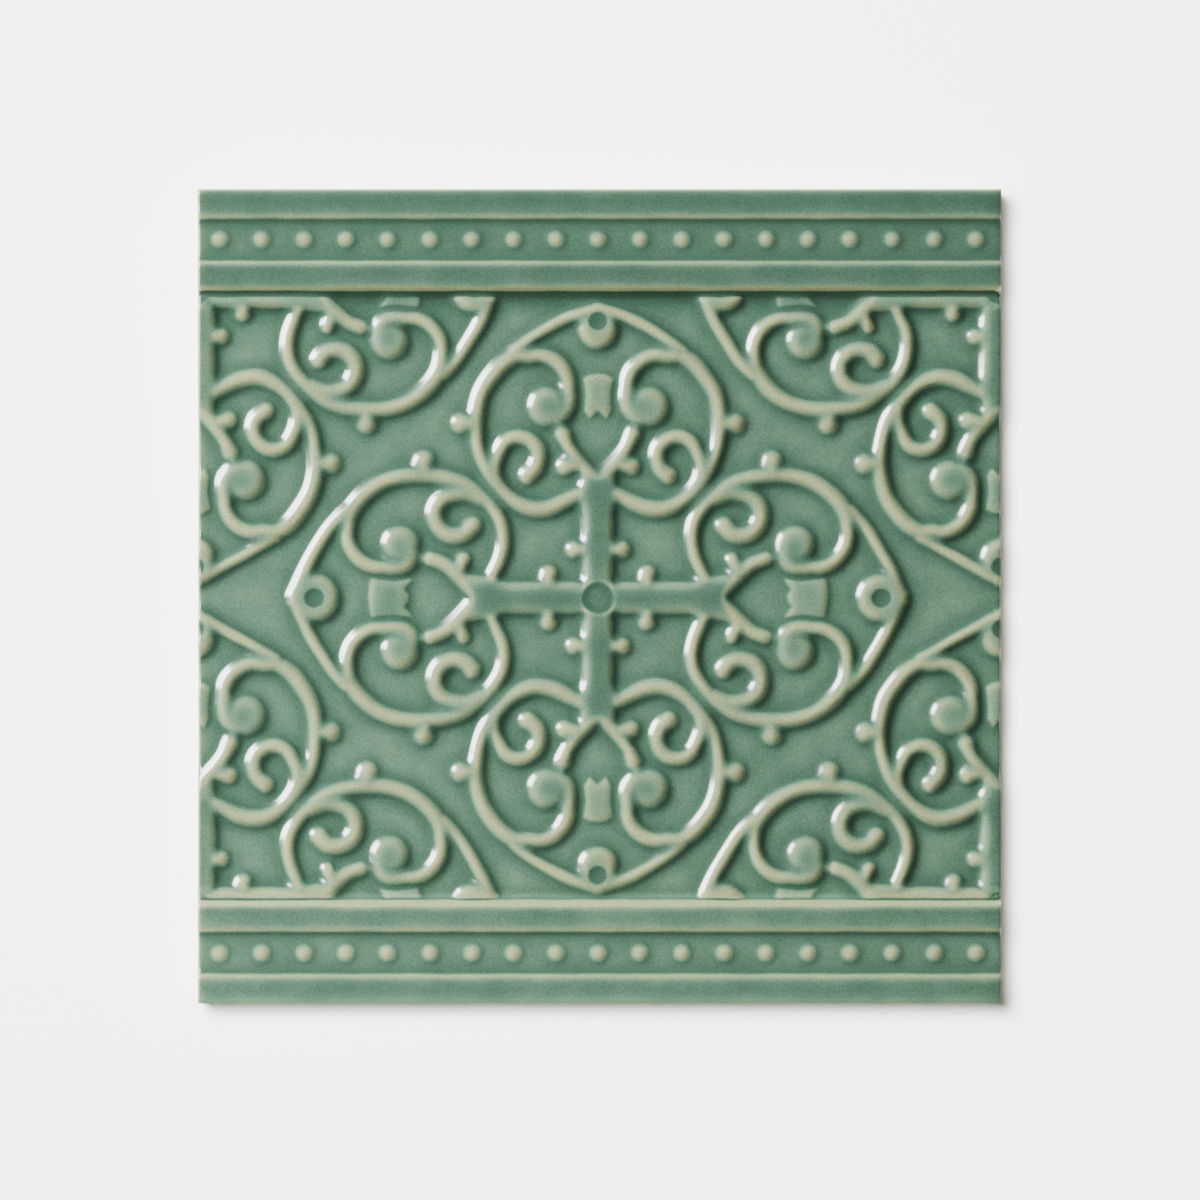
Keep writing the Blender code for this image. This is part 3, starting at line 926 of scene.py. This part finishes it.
@dataclass
class WallTile:
    """The whole tile, in mm: its pressed face, its sides, its back and their finishes."""

    width: float = 150.0
    length: float = 152.0
    field_height: float = 8.2
    pitch: float = 0.25
    margin: float = 3.0
    edge_radius: float = 0.5
    # The field left clear between the scrollwork and the lower and upper mouldings
    moulding_gaps: Point = (0.6, 0.9)
    unevenness: float = 0.1
    pressing: float = 0.2
    film_flow: float = 0.64
    film_depth: float = 0.57
    # The glaze runs off what stands out and gathers in what lies low: each flow is the reach of
    # that in mm, and the share of the hollow's depth that it adds to the film. The wider flow is
    # also painted shade, a dark halo round the relief where its shade falls
    pooling_and_shade_flows: tuple[Point, ...] = ((0.6, 0.65), (1.6, 0.74))
    # How far in the glaze is thinned at the left and top edges, a thin film on the arris and
    # painted light on the two edges that face the lamps, and how much more of it is taken, as
    # painted light, from a wider strip along the left one
    thin_lit_edge: float = 0.3
    lit_left_strip: float = 1.2
    lit_strip_paling: float = 0.3
    # The thinning keeps what shows as height, so this much of the glaze's depth is added for it
    thinning_guide: float = 1.5
    face_triangles: int = 190_000
    # What faces upwards by more than this, on a scale of 1, belongs to the face
    face_tilt: float = 0.3
    glaze_skirt: float = 1.6
    back_chamfer: float = 0.4
    mouldings: Mouldings = field(default_factory=Mouldings)
    scrollwork: Scrollwork = field(default_factory=Scrollwork)
    glaze: SeaGreenGlaze = field(default_factory=SeaGreenGlaze)
    clay: BiscuitClay = field(default_factory=BiscuitClay)

    def pressed_map(self) -> HeightMap:
        """The pressed clay face, before glazing."""
        relief = HeightMap(self.width, self.length, self.pitch, self.margin)
        self.scrollwork.press(relief)
        inner_edge = self.length / 2 - self.mouldings.inner_band[1]
        below, above = self.moulding_gaps
        off = (relief.ys < below - inner_edge) | (relief.ys > inner_edge - above)
        relief.z[off, :] = 0.0
        relief.pooled[off, :] = 0.0
        self.mouldings.press(relief, self.scrollwork.middle)
        relief.make_uneven(self.unevenness)
        return relief

    def build(self) -> bpy.types.Object:
        """Builds the closed mesh of the tile.

        Returns:
            The tile, with its finishes on it.
        """
        relief = self.pressed_map()
        from_side = self.width / 2 - np.abs(relief.xs)[None, :]
        from_end = self.length / 2 - np.abs(relief.ys)[:, None]
        inwards = np.clip(np.minimum(from_side, from_end), 0, None)
        left = np.clip(1 - inwards / self.edge_radius, 0, 1)
        body = relief.levelled(relief.z, self.pressing)
        surface = relief.levelled(relief.z, self.film_flow)
        surface -= self.edge_radius * (1 - np.sqrt(1 - left * left))
        depth = self.film_depth + relief.levelled(relief.pooled, self.pressing)
        # Glaze pooled at the feet, and from the wider flow painted shade round the relief
        for reach, share in self.pooling_and_shade_flows:
            depth += share * (relief.levelled(relief.z, reach) - body)
        # Thin glaze on the arris, and painted light: only the left and top edges, which face the
        # lamps, are paled, the left over a wider strip
        from_left = np.clip(relief.xs + self.width / 2, 0, None)[None, :]
        from_top = np.clip(self.length / 2 - relief.ys, 0, None)[:, None]
        bare = np.exp(-((np.minimum(from_left, from_top) / self.thin_lit_edge) ** 2))
        depth -= self.film_depth * bare
        strip = np.exp(-((from_left / self.lit_left_strip) ** 2))
        depth -= self.lit_strip_paling * self.film_depth * strip
        tile = self.add_face(relief, surface, depth)
        self.close_sides_and_back(tile)
        self.dress(tile)
        self.smooth_face(tile, relief, surface)
        return tile

    def add_face(
        self, relief: HeightMap, surface: np.ndarray, depth: np.ndarray
    ) -> bpy.types.Object:
        """Lays a grid over the tile, lifts it to the glaze's surface and thins it out.

        A height map is used because hundreds of ridges melt into one flowed surface here, which
        separate extruded pieces can't give.

        Args:
            relief: The height map that the grids belong to.
            surface: The height of the glaze's surface.
            depth: The depth of the glaze, with painted shade and painted light added.

        Returns:
            The open face.
        """
        columns = round(self.width / self.pitch)
        rows = round(self.length / self.pitch)
        bpy.ops.object.select_all(action="DESELECT")
        bpy.ops.mesh.primitive_grid_add(x_subdivisions=columns, y_subdivisions=rows, size=1.0)
        face = bpy.context.object
        face.name = face.data.name = "glazed_relief_tile"
        mesh = face.data
        x, y = np.meshgrid(
            np.linspace(-self.width / 2, self.width / 2, columns + 1),
            np.linspace(-self.length / 2, self.length / 2, rows + 1),
        )
        x, y = x.ravel(), y.ravel()
        guide = relief.sample(surface, x, y) + self.thinning_guide * relief.sample(depth, x, y)
        self.set_heights(mesh, x, y, guide)
        thin = face.modifiers.new("thin_out", "DECIMATE")
        thin.ratio = self.face_triangles / (2 * rows * columns)
        bpy.ops.object.modifier_apply(modifier=thin.name)
        mesh = face.data
        x, y = self.plan_of(mesh)
        self.set_heights(mesh, x, y, relief.sample(surface, x, y))
        # The glaze's depth, with painted shade and painted light in it, for the colour
        held = mesh.attributes.new("glaze_depth_and_painted_light", "FLOAT", "POINT")
        held.data.foreach_set("value", relief.sample(depth, x, y).astype(np.float32))
        return face

    def plan_of(self, mesh: bpy.types.Mesh) -> tuple[np.ndarray, np.ndarray]:
        """Where a mesh's vertices lie, seen from above.

        Args:
            mesh: The mesh.

        Returns:
            Each vertex's x and each one's y, in mm.
        """
        places = np.empty(len(mesh.vertices) * 3)
        mesh.vertices.foreach_get("co", places)
        return places[0::3] / MM, places[1::3] / MM

    def set_heights(
        self, mesh: bpy.types.Mesh, x: np.ndarray, y: np.ndarray, heights: np.ndarray
    ) -> None:
        """Moves a mesh's vertices to heights above the field.

        Args:
            mesh: The mesh.
            x: Each vertex's x, in mm.
            y: Each vertex's y, in mm.
            heights: Each vertex's height above the field, in mm.
        """
        places = np.stack([x, y, heights + self.field_height], axis=1) * MM
        mesh.vertices.foreach_set("co", places.astype(np.float32).ravel())
        mesh.update()

    def close_sides_and_back(self, tile: bpy.types.Object) -> None:
        """Extrudes the face's outline down to the back and fills the back.

        Args:
            tile: The open face.
        """
        bpy.ops.object.mode_set(mode="EDIT")
        bpy.ops.mesh.select_mode(type="EDGE")
        bpy.ops.mesh.select_all(action="DESELECT")
        bpy.ops.mesh.select_non_manifold()
        bpy.ops.mesh.mark_sharp()
        glaze_line = self.field_height - self.glaze_skirt
        shrink = 1 - 2 * self.back_chamfer / self.width
        for height, scale in ((glaze_line, 1.0), (self.back_chamfer, 1.0), (0.0, shrink)):
            bpy.ops.mesh.extrude_region_move()
            bpy.ops.transform.resize(
                value=(scale, scale, 0.0), center_override=(0.0, 0.0, height * MM)
            )
            bpy.ops.mesh.mark_sharp()
        bpy.ops.mesh.edge_face_add()
        bpy.ops.mesh.select_all(action="SELECT")
        bpy.ops.mesh.normals_make_consistent(inside=False)
        bpy.ops.object.mode_set(mode="OBJECT")
        bpy.ops.object.shade_smooth()
        LOG.info("%s: %d polygons", tile.name, len(tile.data.polygons))

    def dress(self, tile: bpy.types.Object) -> None:
        """Glazes the face and the top of the sides, and leaves the rest bare clay.

        Args:
            tile: The closed tile.
        """
        mesh = tile.data
        mesh.materials.append(self.glaze.material())
        mesh.materials.append(self.clay.material())
        middles = np.empty(len(mesh.polygons) * 3)
        mesh.polygons.foreach_get("center", middles)
        bare = middles[2::3] < (self.field_height - self.glaze_skirt) * MM
        mesh.polygons.foreach_set("material_index", bare.astype(np.int32))
        mesh.update()

    def smooth_face(self, tile: bpy.types.Object, relief: HeightMap, surface: np.ndarray) -> None:
        """Shades the face by the glaze's own slopes, so that its long facets don't show.

        Args:
            tile: The dressed tile.
            relief: The height map that the grid belongs to.
            surface: The height of the glaze's surface.
        """
        mesh = tile.data
        uphill_y, uphill_x = np.gradient(surface, self.pitch)
        x, y = self.plan_of(mesh)
        slopes = [-relief.sample(uphill, x, y) for uphill in (uphill_x, uphill_y)]
        normals = np.stack([*slopes, np.ones_like(x)], axis=1)
        normals /= np.linalg.norm(normals, axis=1, keepdims=True)
        corner_vertex = np.empty(len(mesh.loops), dtype=np.int32)
        mesh.loops.foreach_get("vertex_index", corner_vertex)
        facing = np.empty(len(mesh.polygons) * 3)
        mesh.polygons.foreach_get("normal", facing)
        sizes = np.empty(len(mesh.polygons), dtype=np.int32)
        mesh.polygons.foreach_get("loop_total", sizes)
        # A normal of nought leaves Blender's own, on the sides and the back
        on_face = np.repeat(facing[2::3] > self.face_tilt, sizes)
        mesh.normals_split_custom_set(normals[corner_vertex] * on_face[:, None])


@dataclass(frozen=True)
class Softbox:
    """A soft light that faces the tile and falls on one thing alone."""

    name: str
    # Degrees round from +X towards +Y, degrees above the floor, and metres from the tile
    azimuth: float
    elevation: float
    distance: float
    # Metres wide and high, and watts
    size: Point
    power: float
    in_gloss: bool = True
    in_diffuse: bool = True

    def build(self, lit: bpy.types.Object) -> None:
        """Adds the light.

        Args:
            lit: The object that it falls on.
        """
        turn, rise = radians(self.azimuth), radians(self.elevation)
        way = Vector((cos(turn) * cos(rise), sin(turn) * cos(rise), sin(rise)))
        lamp = bpy.data.lights.new(self.name, "AREA")
        lamp.shape = "RECTANGLE"
        lamp.size, lamp.size_y = self.size
        lamp.energy = self.power
        light = bpy.data.objects.new(self.name, lamp)
        light.location = way * self.distance
        light.rotation_euler = way.to_track_quat("Z", "Y").to_euler()
        light.visible_glossy = self.in_gloss
        light.visible_diffuse = self.in_diffuse
        bpy.context.scene.collection.objects.link(light)
        group = bpy.data.collections.new(f"{self.name}_lights")
        group.objects.link(lit)
        light.light_linking.receiver_collection = group


@dataclass
class Studio:
    """A pale floor, soft lights and the camera straight above the tile."""

    face_height: float = 0.011
    frame_width: float = 0.2238
    lens: float = 200.0
    sensor: float = 36.0
    look_at: Point = (0.09 * MM, -0.70 * MM)
    floor_size: float = 6.0
    floor_colour: str = "#E6E6E4"
    floor_roughness: float = 0.9
    room_colour: tuple[float, float, float, float] = (1.0, 0.97, 0.9, 1.0)
    room_strength: float = 0.12
    # The key and the fill model the relief, and the strip alone makes the highlights
    key: Softbox = Softbox("key_softbox", 143.0, 31.0, 1.1, (0.5, 0.42), 29.5, in_gloss=False)
    strip: Softbox = Softbox("strip_softbox", 156.0, 20.0, 1.0, (0.6, 0.36), 66.0, in_diffuse=False)
    fill: Softbox = Softbox("fill_softbox", 235.0, 40.0, 0.28, (0.15, 0.15), 0.35, in_gloss=False)
    sweep: Softbox = Softbox("floor_softbox", 140.0, 72.0, 1.5, (0.5, 0.5), 160.0)

    def build(self, tile: bpy.types.Object) -> None:
        """Adds the floor, the lights and the camera.

        The floor has its own light, so that it stays pale while the tile's light rakes across it.

        Args:
            tile: The tile that the studio is lit for.
        """
        floor = self.add_floor()
        for light in (self.key, self.strip, self.fill):
            light.build(tile)
        self.sweep.build(floor)
        world = bpy.data.worlds.new("soft_room")
        world.use_nodes = True
        background = world.node_tree.nodes["Background"]
        background.inputs["Color"].default_value = self.room_colour
        background.inputs["Strength"].default_value = self.room_strength
        bpy.context.scene.world = world
        self.add_camera()

    def add_floor(self) -> bpy.types.Object:
        """Adds the plain pale floor that the tile lies on."""
        bpy.ops.object.select_all(action="DESELECT")
        bpy.ops.mesh.primitive_plane_add(size=self.floor_size)
        floor = bpy.context.object
        floor.name = "studio_floor"
        material, _, shader = new_material("matt_pale_plaster")
        shader.inputs["Base Color"].default_value = linear(self.floor_colour)
        shader.inputs["Roughness"].default_value = self.floor_roughness
        floor.data.materials.append(material)
        return floor

    def add_camera(self) -> None:
        """Adds the camera, square on to the face."""
        lens = bpy.data.cameras.new("square_on_camera")
        lens.lens = self.lens
        lens.sensor_width = self.sensor
        camera = bpy.data.objects.new("square_on_camera", lens)
        height = self.face_height + self.frame_width * self.lens / self.sensor
        camera.location = (*self.look_at, height)
        bpy.context.scene.collection.objects.link(camera)
        bpy.context.scene.camera = camera


def main() -> None:
    """Builds the tile and its studio."""
    logging.basicConfig(level=logging.INFO, format="%(name)s %(message)s")
    tile = WallTile().build()
    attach(tile, "root")
    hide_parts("tile")
    Studio().build(tile)


if __name__ == "__main__":
    main()
